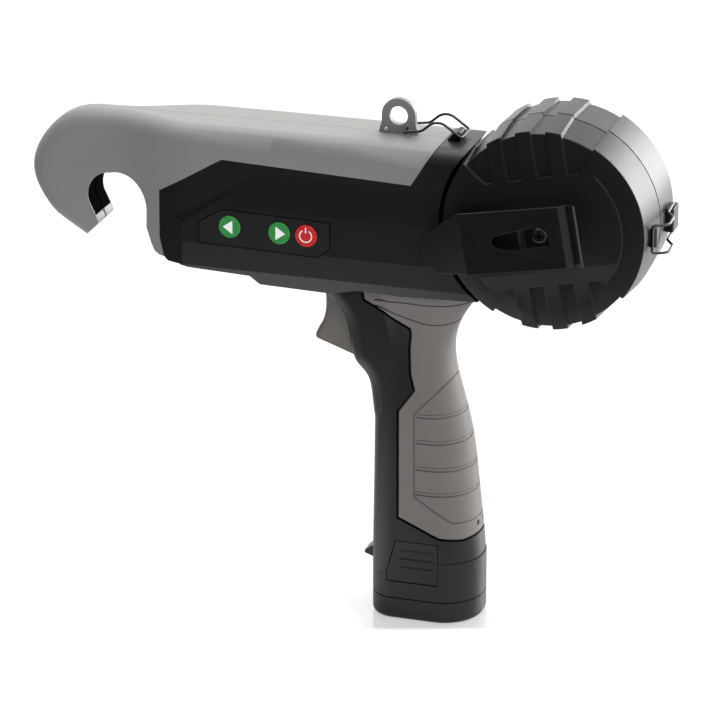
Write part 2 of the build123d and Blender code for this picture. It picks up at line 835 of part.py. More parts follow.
with BuildPart() as housing:
    add(body_form.part)
    side_prism(black_line, (-40, 40), Mode.INTERSECT)
    add(raised_sides.part)
    underside_bevels()
    long_cut([
        (plateau_y + 1, fold_z + 1 / fold_lean),
        (plateau_y + 1, body_low_z - 12),
        (plateau_y - (fold_z - body_low_z + 12) * fold_lean, body_low_z - 12),
    ])
    add(handle.part)
    # Small lug at the foot of the handle's front
    side_prism(foot_lug, (-foot_lug_half_width, foot_lug_half_width))
    add(jaw_void.part, mode=Mode.SUBTRACT)
    add(cavity.part, mode=Mode.SUBTRACT)
    add(handle_hollow.part, mode=Mode.SUBTRACT)
    add(ribs.part)
    # Trigger slot and pocket
    block(
        (-62.0, switch_front_x),
        (-trigger_half_width - fit, trigger_half_width + fit),
        (trigger_low_z - fit, trigger_top_z + fit),
        Mode.SUBTRACT,
    )
    block(
        (trigger_ear_x[0] - fit, switch_front_x),
        (-trigger_ear_half - fit, trigger_ear_half + fit),
        (trigger_ear_z[0] - fit, trigger_ear_z[1] + fit),
        Mode.SUBTRACT,
    )
    # Foot that meets the battery, stepped at the front, with room for the release tabs
    block((-40, seam_step_x), (-40, 40), (0, front_seam_z + fit / 2), Mode.SUBTRACT)
    block((seam_step_x, 40), (-40, 40), (0, rear_seam_z + fit / 2), Mode.SUBTRACT)
    tab_prism((-40, -tab_inner_y), fit, Mode.SUBTRACT)
    tab_prism((tab_inner_y, 40), fit, Mode.SUBTRACT)
    # Saddle of the reel, its screws and the way in for the wire
    round_bar(across(reel_x, reel_z), reel_seam_radius + fit, -60, 60, Mode.SUBTRACT)
    round_bar(along(0, wire_line_z), wire_hole_radius, 0, 20, Mode.SUBTRACT)
    for z in reel_screw_levels:
        round_bar(along(reel_screw_y, z), screw_radius + running, reel_screw_tip_x - 1, 20, Mode.SUBTRACT)
    # Recess and window of the control panel
    side_prism(panel_outline, (-40, -panel_back_y), Mode.SUBTRACT)
    side_prism(panel_outline, (-40, -15), Mode.SUBTRACT, -panel_lip)
    screw_holes(housing_screw_places)
    for y in (-strap_hole_y, strap_hole_y):
        round_bar(along(y, strap_hole_z), strap_hole_radius, *strap_hole_x, Mode.SUBTRACT)

with BuildPart() as left_housing:
    add(housing.part)
    split(bisect_by=Plane.XZ.offset(seam), keep=Keep.TOP)
save(left_housing, "left_housing")

with BuildPart() as right_housing:
    add(housing.part)
    split(bisect_by=Plane.XZ.offset(-seam), keep=Keep.BOTTOM)
save(right_housing, "right_housing")

# Soft grip with fine grooves: lines of its side view and level lines across the palm
grip_groove_depth = 0.5
grip_groove_width = 0.8
grip_groove_paths = [
    [(-24.8, 168.6), (-10.8, 169.6), (0.0, 169.2), (40.0, 170.4)],
    [(-24.6, 165.9), (-16.0, 163.8), (-9.7, 161.7), (0.0, 159.2), (8.0, 158.2), (40.0, 158.2)],
    [(40.0, 156.0), (-3.4, 111.4), (-2.7, 67.6), (17.0, 54.6), (40.0, 53.6)],
]
palm_line_start_x = -2.2
palm_lines = (109.2, 95.6, 81.6, 68.4)
palm_line_faint = (1.9, 0.5)    # rise above a strong line, and width

with BuildPart() as grip_grooves:
    for path in grip_groove_paths:
        with BuildSketch(Plane.XZ.offset(-40)):
            with BuildLine():
                Polyline(*path)
            trace(line_width=grip_groove_width)
        extrude(amount=80)
    for z in palm_lines:
        block((palm_line_start_x, 40), (-40, 40), (z, z + grip_groove_width))
    handle_loft(grip_groove_depth, Mode.SUBTRACT)
with BuildPart() as faint_grooves:
    for z in palm_lines:
        low = z + palm_line_faint[0]
        block((palm_line_start_x, 40), (-40, 40), (low, low + palm_line_faint[1]))
    handle_loft(grip_groove_depth / 2, Mode.SUBTRACT)

with BuildPart() as grip:
    add(handle_outer.part)
    side_prism(grip_outline, (-40, 40), Mode.INTERSECT)
    add(handle_inner.part, mode=Mode.SUBTRACT)
    add(body_form.part, mode=Mode.SUBTRACT)
    add(grip_grooves.part, mode=Mode.SUBTRACT)
    add(faint_grooves.part, mode=Mode.SUBTRACT)
    for y in (-strap_hole_y, strap_hole_y):
        round_bar(along(y, strap_hole_z), strap_hole_radius, *strap_hole_x, Mode.SUBTRACT)
with BuildPart() as left_grip:
    add(grip.part)
    split(bisect_by=Plane.XZ.offset(seam), keep=Keep.TOP)
save(left_grip, "left_grip")
with BuildPart() as right_grip:
    add(grip.part)
    split(bisect_by=Plane.XZ.offset(-seam), keep=Keep.BOTTOM)
save(right_grip, "right_grip")

# Grey nose and top of the casing
with BuildPart() as nose:
    add(body_form.part)
    side_prism(black_line, (-40, 40), Mode.SUBTRACT, groove)
    add(jaw_void.part, mode=Mode.SUBTRACT)
    add(cavity.part, mode=Mode.SUBTRACT)
    with BuildPart(mode=Mode.PRIVATE) as nose_posts:
        for x, z, tip_y, head_y in nose_screw_places:
            round_bar(across(x, z), screw_radius + post_wall, -body_half_width, body_half_width)
        add(cavity.part, mode=Mode.INTERSECT)
    add(nose_posts.part)
    with BuildPart(mode=Mode.PRIVATE) as liner_pocket:
        hook_band(liner_thickness + 0.05, liner_half_width + 0.05, (liner_z[0] - 0.05, liner_z[1]))
    add(liner_pocket.part, mode=Mode.SUBTRACT)
    with BuildPart(mode=Mode.PRIVATE) as tip_channel:
        hook_band(wire_groove_depth, wire_groove / 2, tip_z)
    add(tip_channel.part, mode=Mode.SUBTRACT)
    head_room_x = (-155.0, twister_head_x[1] + 0.5)
    shaft_room_x = (twister_head_x[1], bush_x[0])
    round_bar(along(0, twist_axis_z), twister_head_radius + fit, *head_room_x, Mode.SUBTRACT)
    round_bar(along(0, twist_axis_z), twister_shaft_radius + fit, *shaft_room_x, Mode.SUBTRACT)
    round_bar(along(0, wire_line_z), guide_radius + 0.05, blade_x[1], -130, Mode.SUBTRACT)
    round_bar(along(0, wire_line_z), guide_bore, strand_start_x - 1, -130, Mode.SUBTRACT)
    block(
        (blade_x[0] - 0.05, blade_x[1] + 0.05),
        (-blade_half_width - 0.05, blade_half_width + 0.05),
        (blade_z[0] - 0.05, blade_z[1] + 0.05),
        Mode.SUBTRACT,
    )
    # Seat of the hanging eye
    block(
        (eye_tenon_x[0] - 0.05, eye_tenon_x[1] + 0.05),
        (-eye_half_thickness - 0.05, eye_half_thickness + 0.05),
        (body_top_z - 8, body_top_z + 5),
        Mode.SUBTRACT,
    )
    screw_holes(nose_screw_places)
    round_bar(across(reel_x, reel_z), reel_seam_radius + fit, -60, 60, Mode.SUBTRACT)
with BuildPart() as left_nose_shell:
    add(nose.part)
    split(bisect_by=Plane.XZ.offset(seam), keep=Keep.TOP)
save(left_nose_shell, "left_nose_shell")
with BuildPart() as right_nose_shell:
    add(nose.part)
    split(bisect_by=Plane.XZ.offset(-seam), keep=Keep.BOTTOM)
save(right_nose_shell, "right_nose_shell")

with BuildPart() as hook_liner:
    hook_band(liner_thickness, liner_half_width, liner_z)
    with BuildPart(mode=Mode.PRIVATE) as wire_channel:
        hook_band(wire_groove_depth, wire_groove / 2, liner_z)
    add(wire_channel.part, mode=Mode.SUBTRACT)
save(hook_liner, "hook_liner")

with BuildPart() as housing_screws:
    screws(housing_screw_places + nose_screw_places)
save(housing_screws, "housing_screws")

# Control panel, circuit board and the three buttons
board_front_y = panel_back_y - board_gap
button_front_y = plateau_y + button_proud
flange_front_y = panel_back_y - 0.1
flange_back_y = flange_front_y - button_flange_thickness

with BuildPart() as control_panel:
    side_prism(panel_outline, (-plateau_y, -panel_back_y - 0.02), Mode.ADD, -panel_gap)
    for name, x, z in button_places:
        round_bar(across(x, z), button_radius + 0.15, -40, 0, Mode.SUBTRACT)
    for x, z in panel_posts:
        round_bar(across(x, z), post_radius, -panel_back_y - 0.5, -board_front_y - 0.02)
save(control_panel, "control_panel")

with BuildPart() as control_board:
    side_prism(panel_outline, (-board_front_y, board_thickness - board_front_y), Mode.ADD, -panel_lip - 0.6)
    for name, x, z in button_places:
        block(
            (x - tact_half, x + tact_half),
            (button_travel + 0.15 - flange_back_y, 0.1 - board_front_y),
            (z - tact_half, z + tact_half),
        )
save(control_board, "control_board")

for name, x, z in button_places:
    with BuildPart() as button:
        round_bar(across(x, z), button_radius, -button_front_y, -flange_back_y)
        round_bar(across(x, z), button_radius + button_flange, -flange_front_y, -flange_back_y)
        chamfer(button.faces().sort_by(Axis.Y)[0].edges(), length=0.35)
    save(button, name)

# Battery: base, case with its stem, cap, cells and release tabs


def stem_section(z, inset=0.0):
    """Outline of the battery's stem at one height, drawn in by an inset."""
    with BuildSketch(Plane.XY.offset(z)) as level:
        with Locations(((stem_front + stem_rear) / 2, 0)):
            RectangleRounded(
                stem_rear - stem_front - 2 * inset, 2 * (stem_half_depth - inset), stem_corner - inset
            )
    return level.sketch


cell_places = [(stem_front + stem_rear - cell_pitch) / 2, (stem_front + stem_rear + cell_pitch) / 2]
case_low_z = base_height + fit / 2
case_floor_z = case_low_z + base_wall
cap_low_z = stem_top_z - cap_thickness
tab_pivot_y = battery_half_depth - tab_pivot_in

with BuildPart() as battery_base:
    extrude(battery_section(0.0), amount=base_height - base_groove)
    fillet(battery_base.faces().sort_by(Axis.Z)[0].edges(), radius=base_round)
    extrude(battery_section(base_wall, base_wall), amount=base_height, mode=Mode.SUBTRACT)
    for x in (-base_screw_x, base_screw_x):
        for y in (-base_screw_y, base_screw_y):
            with Locations((x, y, 0)):
                Cylinder(screw_head_radius + 1, base_height, align=(Align.CENTER, Align.CENTER, Align.MIN))
                Cylinder(
                    screw_radius + running,
                    base_height,
                    align=(Align.CENTER, Align.CENTER, Align.MIN),
                    mode=Mode.SUBTRACT,
                )
                Cylinder(
                    screw_head_radius + fit,
                    base_screw_head_z,
                    align=(Align.CENTER, Align.CENTER, Align.MIN),
                    mode=Mode.SUBTRACT,
                )
    for x in (-cell_board_post, cell_board_post):
        with Locations((x, 0, base_wall / 2)):
            Cylinder(2.0, cell_board_z - base_wall / 2, align=(Align.CENTER, Align.CENTER, Align.MIN))
save(battery_base, "battery_base")

with BuildPart() as base_screws:
    for x in (-base_screw_x, base_screw_x):
        for y in (-base_screw_y, base_screw_y):
            with Locations((x, y, base_screw_head_z)):
                Cylinder(screw_radius, base_screw_length, align=(Align.CENTER, Align.CENTER, Align.MIN))
                Cylinder(screw_head_radius, screw_head_height, align=(Align.CENTER, Align.CENTER, Align.MAX))
            for slot in ((0.8, 3.4), (3.4, 0.8)):
                with Locations((x, y, base_screw_head_z - screw_head_height)):
                    Box(slot[0], slot[1], 1.8, mode=Mode.SUBTRACT)
save(base_screws, "base_screws")

with BuildPart() as cell_board:
    block(
        (-cell_board_half[0], cell_board_half[0]),
        (-cell_board_half[1], cell_board_half[1]),
        (cell_board_z, cell_board_z + board_thickness),
    )
    block((-4.0, 4.0), (-5.0, -1.5), (cell_board_z, cell_board_z + 2.6))
    block((-9.0, -6.0), (-3.0, 3.0), (cell_board_z, cell_board_z + 2.4))
save(cell_board, "cell_board")

with BuildPart() as battery_case:
    extrude(battery_section(case_low_z), amount=rear_seam_z - case_low_z)
    block((-40, seam_step_x + fit), (-40, 40), (front_seam_z, 60), Mode.SUBTRACT)
    extrude(stem_section(case_low_z), amount=cap_low_z - 0.05 - case_low_z)
    tab_prism((-40, -tab_inner_y), fit, Mode.SUBTRACT)
    tab_prism((tab_inner_y, 40), fit, Mode.SUBTRACT)
    for x in cell_places:
        with Locations((x, 0, case_floor_z)):
            Cylinder(
                cell_radius + 0.1, 100, align=(Align.CENTER, Align.CENTER, Align.MIN), mode=Mode.SUBTRACT
            )
        with Locations((x, 0, 0)):
            Cylinder(
                4.0, case_floor_z + 1, align=(Align.CENTER, Align.CENTER, Align.MIN), mode=Mode.SUBTRACT
            )
    for x in (-base_screw_x, base_screw_x):
        for y in (-base_screw_y, base_screw_y):
            with Locations((x, y, 0)):
                Cylinder(
                    screw_radius + running,
                    base_screw_head_z + base_screw_length + 0.5,
                    align=(Align.CENTER, Align.CENTER, Align.MIN),
                    mode=Mode.SUBTRACT,
                )
    for y in (-tab_pivot_y, tab_pivot_y):
        round_bar(
            along(y, tab_pivot_z),
            tab_pin_radius + running,
            tab_front - tab_pin_reach - 0.2,
            tab_rear + tab_pin_reach + 0.2,
            Mode.SUBTRACT,
        )
save(battery_case, "battery_case")

with BuildPart() as battery_cells:
    for x in cell_places:
        with Locations((x, 0, case_floor_z + 0.1)):
            Cylinder(cell_radius, cell_length, align=(Align.CENTER, Align.CENTER, Align.MIN))
            Cylinder(3.0, cell_length + 1.2, align=(Align.CENTER, Align.CENTER, Align.MIN))
save(battery_cells, "battery_cells")

with BuildPart() as battery_cap:
    extrude(stem_section(cap_low_z), amount=cap_thickness)
    chamfer(battery_cap.faces().sort_by(Axis.Z)[-1].edges(), length=1.0)
    for x in contact_places:
        block(
            (x - contact_half[0], x + contact_half[0]),
            (-contact_half[1], contact_half[1]),
            (cap_low_z - 1, stem_top_z + 1),
            Mode.SUBTRACT,
        )
save(battery_cap, "battery_cap")

with BuildPart() as battery_contacts:
    for x in contact_places:
        block(
            (x - contact_half[0], x + contact_half[0]),
            (-contact_half[1], contact_half[1]),
            (cap_low_z, stem_top_z + contact_height),
        )
save(battery_contacts, "battery_contacts")

with BuildPart() as terminal_block:
    extrude(stem_section(stem_top_z + terminal_gap, terminal_inset), amount=terminal_height)
    for x in contact_places:
        block(
            (x - contact_half[0] - fit, x + contact_half[0] + fit),
            (-contact_half[1] - fit, contact_half[1] + fit),
            (stem_top_z, stem_top_z + contact_height + 1),
            Mode.SUBTRACT,
        )
save(terminal_block, "terminal_block")

with BuildPart() as left_release_tab:
    tab_prism((-tab_outer_y, tab_thickness - tab_outer_y), 0.0)
    for z in tab_ridges:
        block(
            (tab_front_top + 2.0, tab_rear - 2.0),
            (-tab_outer_y - tab_ridge_height, 0.2 - tab_outer_y),
            (z - tab_ridge_half, z + tab_ridge_half),
        )
    round_bar(
        along(-tab_pivot_y, tab_pivot_z), tab_pin_radius, tab_front - tab_pin_reach, tab_rear + tab_pin_reach
    )
save(left_release_tab, "left_release_tab")
with BuildPart() as right_release_tab:
    mirror(left_release_tab.part, about=Plane.XZ)
save(right_release_tab, "right_release_tab")

# Reel: two drum halves, ribbed at the top and bottom
cover_form = (reel_edge_radius, reel_edge_y, reel_face_y, reel_gap)
case_form = (case_edge_radius, case_edge_y, case_face_y, seam)
drum_inner_radius = reel_edge_radius - flute_depth - reel_wall
cover_inner_y = reel_face_y - face_recess - reel_wall
case_inner_y = case_face_y - face_recess - reel_wall


def drum_turned(form, inset=0.0, face_inset=0.0):
    """Half of the drum as a turned form on the left side, drawn in at the rim and the face."""
    edge_radius, edge_y, face_y, gap = form
    with BuildSketch(reel_section) as profile:
        with BuildLine():
            Polyline(
                (0, -gap),
                (reel_seam_radius - inset, -gap),
                (edge_radius - inset, face_inset - edge_y),
                (reel_face_radius - inset, face_inset - face_y),
                (0, face_inset - face_y),
                close=True,
            )
        make_face()
    revolve(profile.sketch, axis=reel_axis)


def drum_half(form, inner_y):
    """Hollow half of the drum on the left side, with ribs and a raised band across its face."""
    face_y = form[2]
    span = tan(radians(flute_half_span))
    rib_offset = reel_edge_radius * sin(radians(rib_pitch))
    with BuildPart() as half:
        drum_turned(form)
        # Recesses between the ribs
        with BuildSketch(face_plane) as recess:
            for side in (1, -1):
                with BuildLine():
                    Polyline(
                        (-rib_end * span, side * rib_end),
                        (rib_end * span, side * rib_end),
                        (70 * span, side * 70),
                        (-70 * span, side * 70),
                        close=True,
                    )
                make_face()
            with Locations((rib_shift - rib_offset, 0), (rib_shift, 0), (rib_shift + rib_offset, 0)):
                Rectangle(rib_width, 160, mode=Mode.SUBTRACT)
        extrude(recess.sketch, amount=60, mode=Mode.SUBTRACT)
        drum_turned(form, flute_depth, face_recess)
        # Raised band across the face
        with BuildPart(mode=Mode.PRIVATE) as band:
            with BuildSketch(band_plane):
                with BuildLine():
                    Polyline(
                        (-band_half_height - band_bevel, face_y - face_recess - 0.5),
                        (-band_half_height - band_bevel, face_y),
                        (-band_half_height, face_y + band_height),
                        (band_half_height, face_y + band_height),
                        (band_half_height + band_bevel, face_y),
                        (band_half_height + band_bevel, face_y - face_recess - 0.5),
                        close=True,
                    )
                make_face()
            extrude(amount=reel_face_radius, both=True)
            round_bar(across(reel_x, reel_z), reel_face_radius - 1.0, -40, 0, Mode.INTERSECT)
        add(band.part)
        round_bar(across(reel_x, reel_z), drum_inner_radius, -inner_y, 0, Mode.SUBTRACT)
    return half.part


with BuildPart() as reel_cover:
    add(drum_half(cover_form, cover_inner_y))
    round_bar(across(reel_x, reel_z), cover_boss_radius, -cover_inner_y - 0.5, -cover_boss_y)
    bore_end_y = 0.5 - hook_screw_tip_y
    round_bar(across(reel_x, reel_z), hook_screw_radius + running, -40, bore_end_y, Mode.SUBTRACT)
    round_bar(along(0, wire_line_z), wire_hole_radius, 0, 30, Mode.SUBTRACT)
save(reel_cover, "reel_cover")

with BuildPart() as reel_case:
    mirror(drum_half(case_form, case_inner_y), about=Plane.XZ)
    # Lip that the cover slides over
    round_bar(across(reel_x, reel_z), drum_inner_radius + 0.5, seam, lip_depth)
    round_bar(across(reel_x, reel_z), drum_inner_radius - 0.12, -lip_reach, lip_depth)
    lip_inner_radius = drum_inner_radius - lip_thickness
    round_bar(across(reel_x, reel_z), lip_inner_radius, -lip_reach, lip_depth, Mode.SUBTRACT)
    round_bar(along(0, wire_line_z), wire_hole_radius, 0, 30, Mode.SUBTRACT)
    for z in reel_screw_levels:
        round_bar(along(reel_screw_y, z), screw_radius + running, 0, 30, Mode.SUBTRACT)
        round_bar(along(reel_screw_y, z), screw_head_radius + running, reel_screw_head_x, 30, Mode.SUBTRACT)
save(reel_case, "reel_case")

with BuildPart() as reel_screws:
    for z in reel_screw_levels:
        round_bar(along(reel_screw_y, z), screw_radius, reel_screw_tip_x, reel_screw_head_x)
        head_end_x = reel_screw_head_x + reel_screw_head_height
        round_bar(along(reel_screw_y, z), screw_head_radius, reel_screw_head_x, head_end_x)
save(reel_screws, "reel_screws")

with BuildPart() as reel_spindle:
    round_bar(across(reel_x, reel_z), spindle_radius, -spindle_end_y, case_inner_y)
    round_bar(across(reel_x, reel_z), spindle_flange_radius, spool_half_width + fit, case_inner_y)
    chamfer(reel_spindle.faces().sort_by(Axis.Y)[0].edges(), length=0.8)
save(reel_spindle, "reel_spindle")

with BuildPart() as spool_nut:
    with BuildSketch(across(reel_x, reel_z).offset(-spool_half_width - fit - nut_thickness)):
        RegularPolygon(nut_radius, 6)
        Circle(spindle_radius, mode=Mode.SUBTRACT)
    extrude(amount=nut_thickness)
save(spool_nut, "spool_nut")

with BuildPart() as spool:
    round_bar(across(reel_x, reel_z), hub_radius, -spool_half_width, spool_half_width)
    for start in (-spool_half_width, spool_half_width - spool_flange):
        round_bar(across(reel_x, reel_z), spool_radius, start, start + spool_flange)
    with BuildSketch(across(reel_x, reel_z).offset(-spool_half_width)):
        with PolarLocations(spool_window_place, 6):
            Circle(spool_window_radius)
    extrude(amount=2 * spool_half_width, mode=Mode.SUBTRACT)
    round_bar(across(reel_x, reel_z), spindle_radius + running, -40, 40, Mode.SUBTRACT)
save(spool, "spool")

with BuildPart() as tie_wire:
    winding_half = spool_half_width - spool_flange - 0.05
    round_bar(across(reel_x, reel_z), winding_radius, -winding_half, winding_half)
    round_bar(across(reel_x, reel_z), hub_radius + 0.05, -40, 40, Mode.SUBTRACT)
save(tie_wire, "tie_wire")

# Belt hook bent from one sheet, and its screw
band_face_y = reel_face_y + band_height
inner_leaf_y = band_face_y + 0.02 + sheet / 2

inner_leaf = [
    (inner_leaf_start_u, -inner_leaf_y - inner_leaf_step),
    (inner_step_u[0], -inner_leaf_y - inner_leaf_step),
    (inner_step_u[1], -inner_leaf_y),
    (inner_leaf_end_u, -inner_leaf_y),
]

with BuildPart() as belt_hook:
    leaves = [(hook_path, [1.4, 1.6, 2.5], (hook_low_v, hook_top_v)), (inner_leaf, [1.2, 1.2], inner_leaf_v)]
    for path, bends, edges in leaves:
        with BuildSketch(leaf_plane.offset(edges[0])):
            with BuildLine():
                FilletPolyline(*path, radius=bends)
            trace(line_width=sheet)
        extrude(amount=edges[1] - edges[0])
    # Plan of the sheet
    with BuildSketch(hook_plane):
        with BuildLine():
            Polyline(*hook_plan, close=True)
        make_face()
        fillet(vertices(), radius=2.0)
    extrude(amount=80, mode=Mode.INTERSECT)
    # Teardrop window in the outer leaf
    with BuildSketch(hook_plane.offset(inner_leaf_y + inner_leaf_step + 1.5)):
        for u, v, radius in hook_window:
            with Locations((u, v)):
                Circle(radius)
        make_hull()
    extrude(amount=40, mode=Mode.SUBTRACT)
    round_bar(across(reel_x, reel_z), hook_screw_radius + running, -inner_leaf_y - 2, 0, Mode.SUBTRACT)
save(belt_hook, "belt_hook")

with BuildPart() as belt_hook_screw:
    head_y = inner_leaf_y + sheet / 2
    round_bar(across(reel_x, reel_z), hook_screw_radius, -head_y, -hook_screw_tip_y)
    round_bar(across(reel_x, reel_z), hook_screw_head, -head_y - hook_screw_height, -head_y)
    fillet(belt_hook_screw.faces().sort_by(Axis.Y)[0].edges(), radius=0.8)
    for slot in ((0.45, 2.0), (2.0, 0.45)):
        block(
            (reel_x - slot[0], reel_x + slot[0]),
            (-head_y - 10, -head_y - 0.8),
            (reel_z - slot[1], reel_z + slot[1]),
            Mode.SUBTRACT,
        )
save(belt_hook_screw, "belt_hook_screw")

# Hanging eye on the top, and the wire bail that hooks over a catch on the neck
with BuildPart() as hanging_eye:
    eye_y = (-eye_half_thickness, eye_half_thickness)
    eye_sides = (eye_x - eye_radius, eye_x + eye_radius)
    round_bar(across(eye_x, eye_z), eye_radius, *eye_y)
    block(eye_sides, eye_y, (body_top_z - 3, eye_z))
    eye_foot = [
        (eye_sides[0], eye_foot_top_z),
        (eye_sides[0] - eye_foot_flare, eye_foot_low_z),
        (eye_sides[0] - eye_foot_flare, body_top_z - 3),
        (eye_sides[1] + eye_foot_flare, body_top_z - 3),
        (eye_sides[1] + eye_foot_flare, eye_foot_low_z),
        (eye_sides[1], eye_foot_top_z),
    ]
    side_prism(eye_foot, eye_y)
    for place in (front_pivot, eye_spare_hole):
        round_bar(across(*place), eye_boss_radius, -eye_boss_half, eye_boss_half)
    add(body_form.part, mode=Mode.SUBTRACT)
    # Tenon held between the casing's halves
    block(eye_tenon_x, eye_y, (eye_tenon_low_z, body_top_z + 1.5))
    tenon_foot_y = (-eye_tenon_foot_half, eye_tenon_foot_half)
    block(eye_tenon_x, tenon_foot_y, (eye_tenon_low_z, body_top_z - wall - 0.15))
    round_bar(across(eye_x, eye_z), eye_hole_radius, -10, 10, Mode.SUBTRACT)
    round_bar(across(*front_pivot), wire_radius + running, -10, 10, Mode.SUBTRACT)
    round_bar(across(*eye_spare_hole), eye_spare_radius, -10, 10, Mode.SUBTRACT)
save(hanging_eye, "hanging_eye")


def bail(corners, bends):
    """Wire loop: round wire along a path of corners with bend radii."""
    with BuildPart() as loop:
        with BuildLine() as path:
            FilletPolyline(*corners, radius=bends)
        with BuildSketch(Plane(origin=path.line @ 0, z_dir=path.line % 0)):
            Circle(wire_radius)
        sweep()
    return loop.part


front_side = [front_pivot] + front_bail_corners
front_loop = [(front_pivot[0], -front_pin_reach, front_pivot[1])]
front_loop += [(x, -front_bail_half, z) for x, z in front_side]
front_loop += [(x, front_bail_half, z) for x, z in reversed(front_side)]
front_loop += [(front_pivot[0], front_pin_reach, front_pivot[1])]
with BuildPart() as front_bail:
    add(bail(front_loop, front_bends + front_bends[::-1]))
save(front_bail, "front_bail")

with BuildPart() as front_catch:
    ramp = [
        (front_catch_x[0], body_top_z - 3),
        (front_catch_x[0], front_catch_z[0]),
        (front_catch_ramp_x, front_catch_z[1]),
        (front_catch_x[1], front_catch_z[1]),
        (front_catch_x[1], body_top_z - 3),
    ]
    side_prism(ramp, (-front_catch_half, front_catch_half))
    chamfer(front_catch.faces().sort_by(Axis.Z)[-1].edges(), length=0.6)
    add(body_form.part, mode=Mode.SUBTRACT)
save(front_catch, "front_catch")

# Latch at the rear of the reel: lug on the right half, bail, and catch on the cover
with BuildPart() as drum_solid:
    drum_turned(case_form)
    mirror(about=Plane.XZ, mode=Mode.REPLACE)
    drum_turned(cover_form)
    round_bar(across(reel_x, reel_z), reel_seam_radius, -reel_gap, seam)

with BuildPart() as rear_lug:
    lug_z = (rear_latch_z - rear_lug_half, rear_latch_z + rear_lug_half)
    block((latch_root_x, rear_lug_x), rear_lug_y, lug_z)
    fillet(rear_lug.edges().filter_by(Axis.Z).sort_by(Axis.X)[-2:], radius=rear_lug_round)
    add(drum_solid.part, mode=Mode.SUBTRACT)
    with BuildSketch(Plane.XY.offset(lug_z[0] - 1)):
        with Locations(rear_pivot):
            Circle(wire_radius + running)
    extrude(amount=2 * rear_lug_half + 2, mode=Mode.SUBTRACT)
save(rear_lug, "rear_lug")

rear_side = [rear_pivot] + rear_bail_corners
rear_loop = [(*rear_pivot, rear_latch_z - rear_pin_reach)]
rear_loop += [(x, y, rear_latch_z - rear_bail_half) for x, y in rear_side]
rear_loop += [(x, y, rear_latch_z + rear_bail_half) for x, y in reversed(rear_side)]
rear_loop += [(*rear_pivot, rear_latch_z + rear_pin_reach)]
with BuildPart() as rear_bail:
    add(bail(rear_loop, rear_bends + rear_bends[::-1]))
save(rear_bail, "rear_bail")

with BuildPart() as rear_catch:
    with BuildSketch(Plane.XY.offset(rear_latch_z - rear_catch_half)):
        with BuildLine():
            Polyline(
                (latch_root_x, rear_catch_y[0]),
                (rear_catch_x - rear_catch_bevel, rear_catch_y[0]),
                (rear_catch_x, rear_catch_y[0] + rear_catch_bevel),
                (rear_catch_x, rear_catch_y[1] - rear_catch_bevel),
                (rear_catch_x - rear_catch_bevel, rear_catch_y[1]),
                (latch_root_x, rear_catch_y[1]),
                close=True,
            )
        make_face()
    extrude(amount=2 * rear_catch_half)
    add(drum_solid.part, mode=Mode.SUBTRACT)
save(rear_catch, "rear_catch")

# Twisting drive behind the jaw
with BuildPart() as twist_motor:
    round_bar(along(0, twist_axis_z), twist_motor_radius, *twist_motor_x)
    chamfer(twist_motor.edges(), length=0.8)
    round_bar(along(0, twist_axis_z), 5.0, twist_motor_x[1] - 1, twist_motor_x[1] + 2.0)
    round_bar(
        along(0, twist_axis_z),
        twister_shaft_radius + running,
        twist_motor_x[0] - 1,
        twist_motor_x[0] + 7,
        Mode.SUBTRACT,
    )
save(twist_motor, "twist_motor")

with BuildPart() as twister:
    round_bar(along(0, twist_axis_z), twister_shaft_radius, twister_head_x[1] - 1, twist_motor_x[0] + 6)
    round_bar(along(0, twist_axis_z), twister_head_radius, *twister_head_x)
    block(
        (twister_head_x[0] - 1, twister_head_x[0] + 2.6),
        (-0.9, 0.9),
        (twist_axis_z - 10, twist_axis_z + 10),
        Mode.SUBTRACT,
    )
save(twister, "twister")

with BuildPart() as twister_bush:
    round_bar(along(0, twist_axis_z), bush_radius, *bush_x)
    round_bar(along(0, twist_axis_z), twister_shaft_radius + running, -150, -110, Mode.SUBTRACT)
save(twister_bush, "twister_bush")

# Feed drive: motor, gearbox, rollers, wire guide and cutter
drive_axis_z = wire_line_z - tie_wire_radius - roller_gap - drive_roller_radius
pinch_axis_z = wire_line_z + tie_wire_radius + roller_gap + pinch_roller_radius

with BuildPart() as feed_motor:
    round_bar(along(feed_motor_y, feed_motor_z), feed_motor_radius, *feed_motor_x)
    chamfer(feed_motor.edges(), length=0.8)
    round_bar(along(feed_motor_y, feed_motor_z), motor_shaft_radius, feed_motor_x[1] - 1, gearbox_x[0] + 4)
save(feed_motor, "feed_motor")

with BuildPart() as feed_gearbox:
    block(gearbox_x, gearbox_y, gearbox_z)
    chamfer(feed_gearbox.edges().filter_by(Axis.X), length=1.2)
    # Holder of the guide tube
    block((gearbox_x[0], gearbox_x[0] + 5), (-3.0, gearbox_y[0] + 2), (wire_line_z - 4, wire_line_z + 3))
    round_bar(along(0, wire_line_z), guide_radius + 0.02, -40, 0, Mode.SUBTRACT)
    round_bar(
        along(feed_motor_y, feed_motor_z),
        motor_shaft_radius + running,
        gearbox_x[0] - 1,
        gearbox_x[0] + 5,
        Mode.SUBTRACT,
    )
    round_bar(
        across(roller_x, drive_axis_z), roller_shaft_radius + running, 0, gearbox_y[0] + 6, Mode.SUBTRACT
    )
save(feed_gearbox, "feed_gearbox")

with BuildPart() as drive_roller:
    round_bar(across(roller_x, drive_axis_z), drive_roller_radius, *roller_y)
    round_bar(across(roller_x, drive_axis_z), roller_shaft_radius, roller_y[0], gearbox_y[0] + 5)
    with BuildSketch(across(roller_x, drive_axis_z).offset(roller_y[0])):
        with PolarLocations(5.2, 5):
            Circle(1.2)
    extrude(amount=roller_y[1] - roller_y[0], mode=Mode.SUBTRACT)
save(drive_roller, "drive_roller")

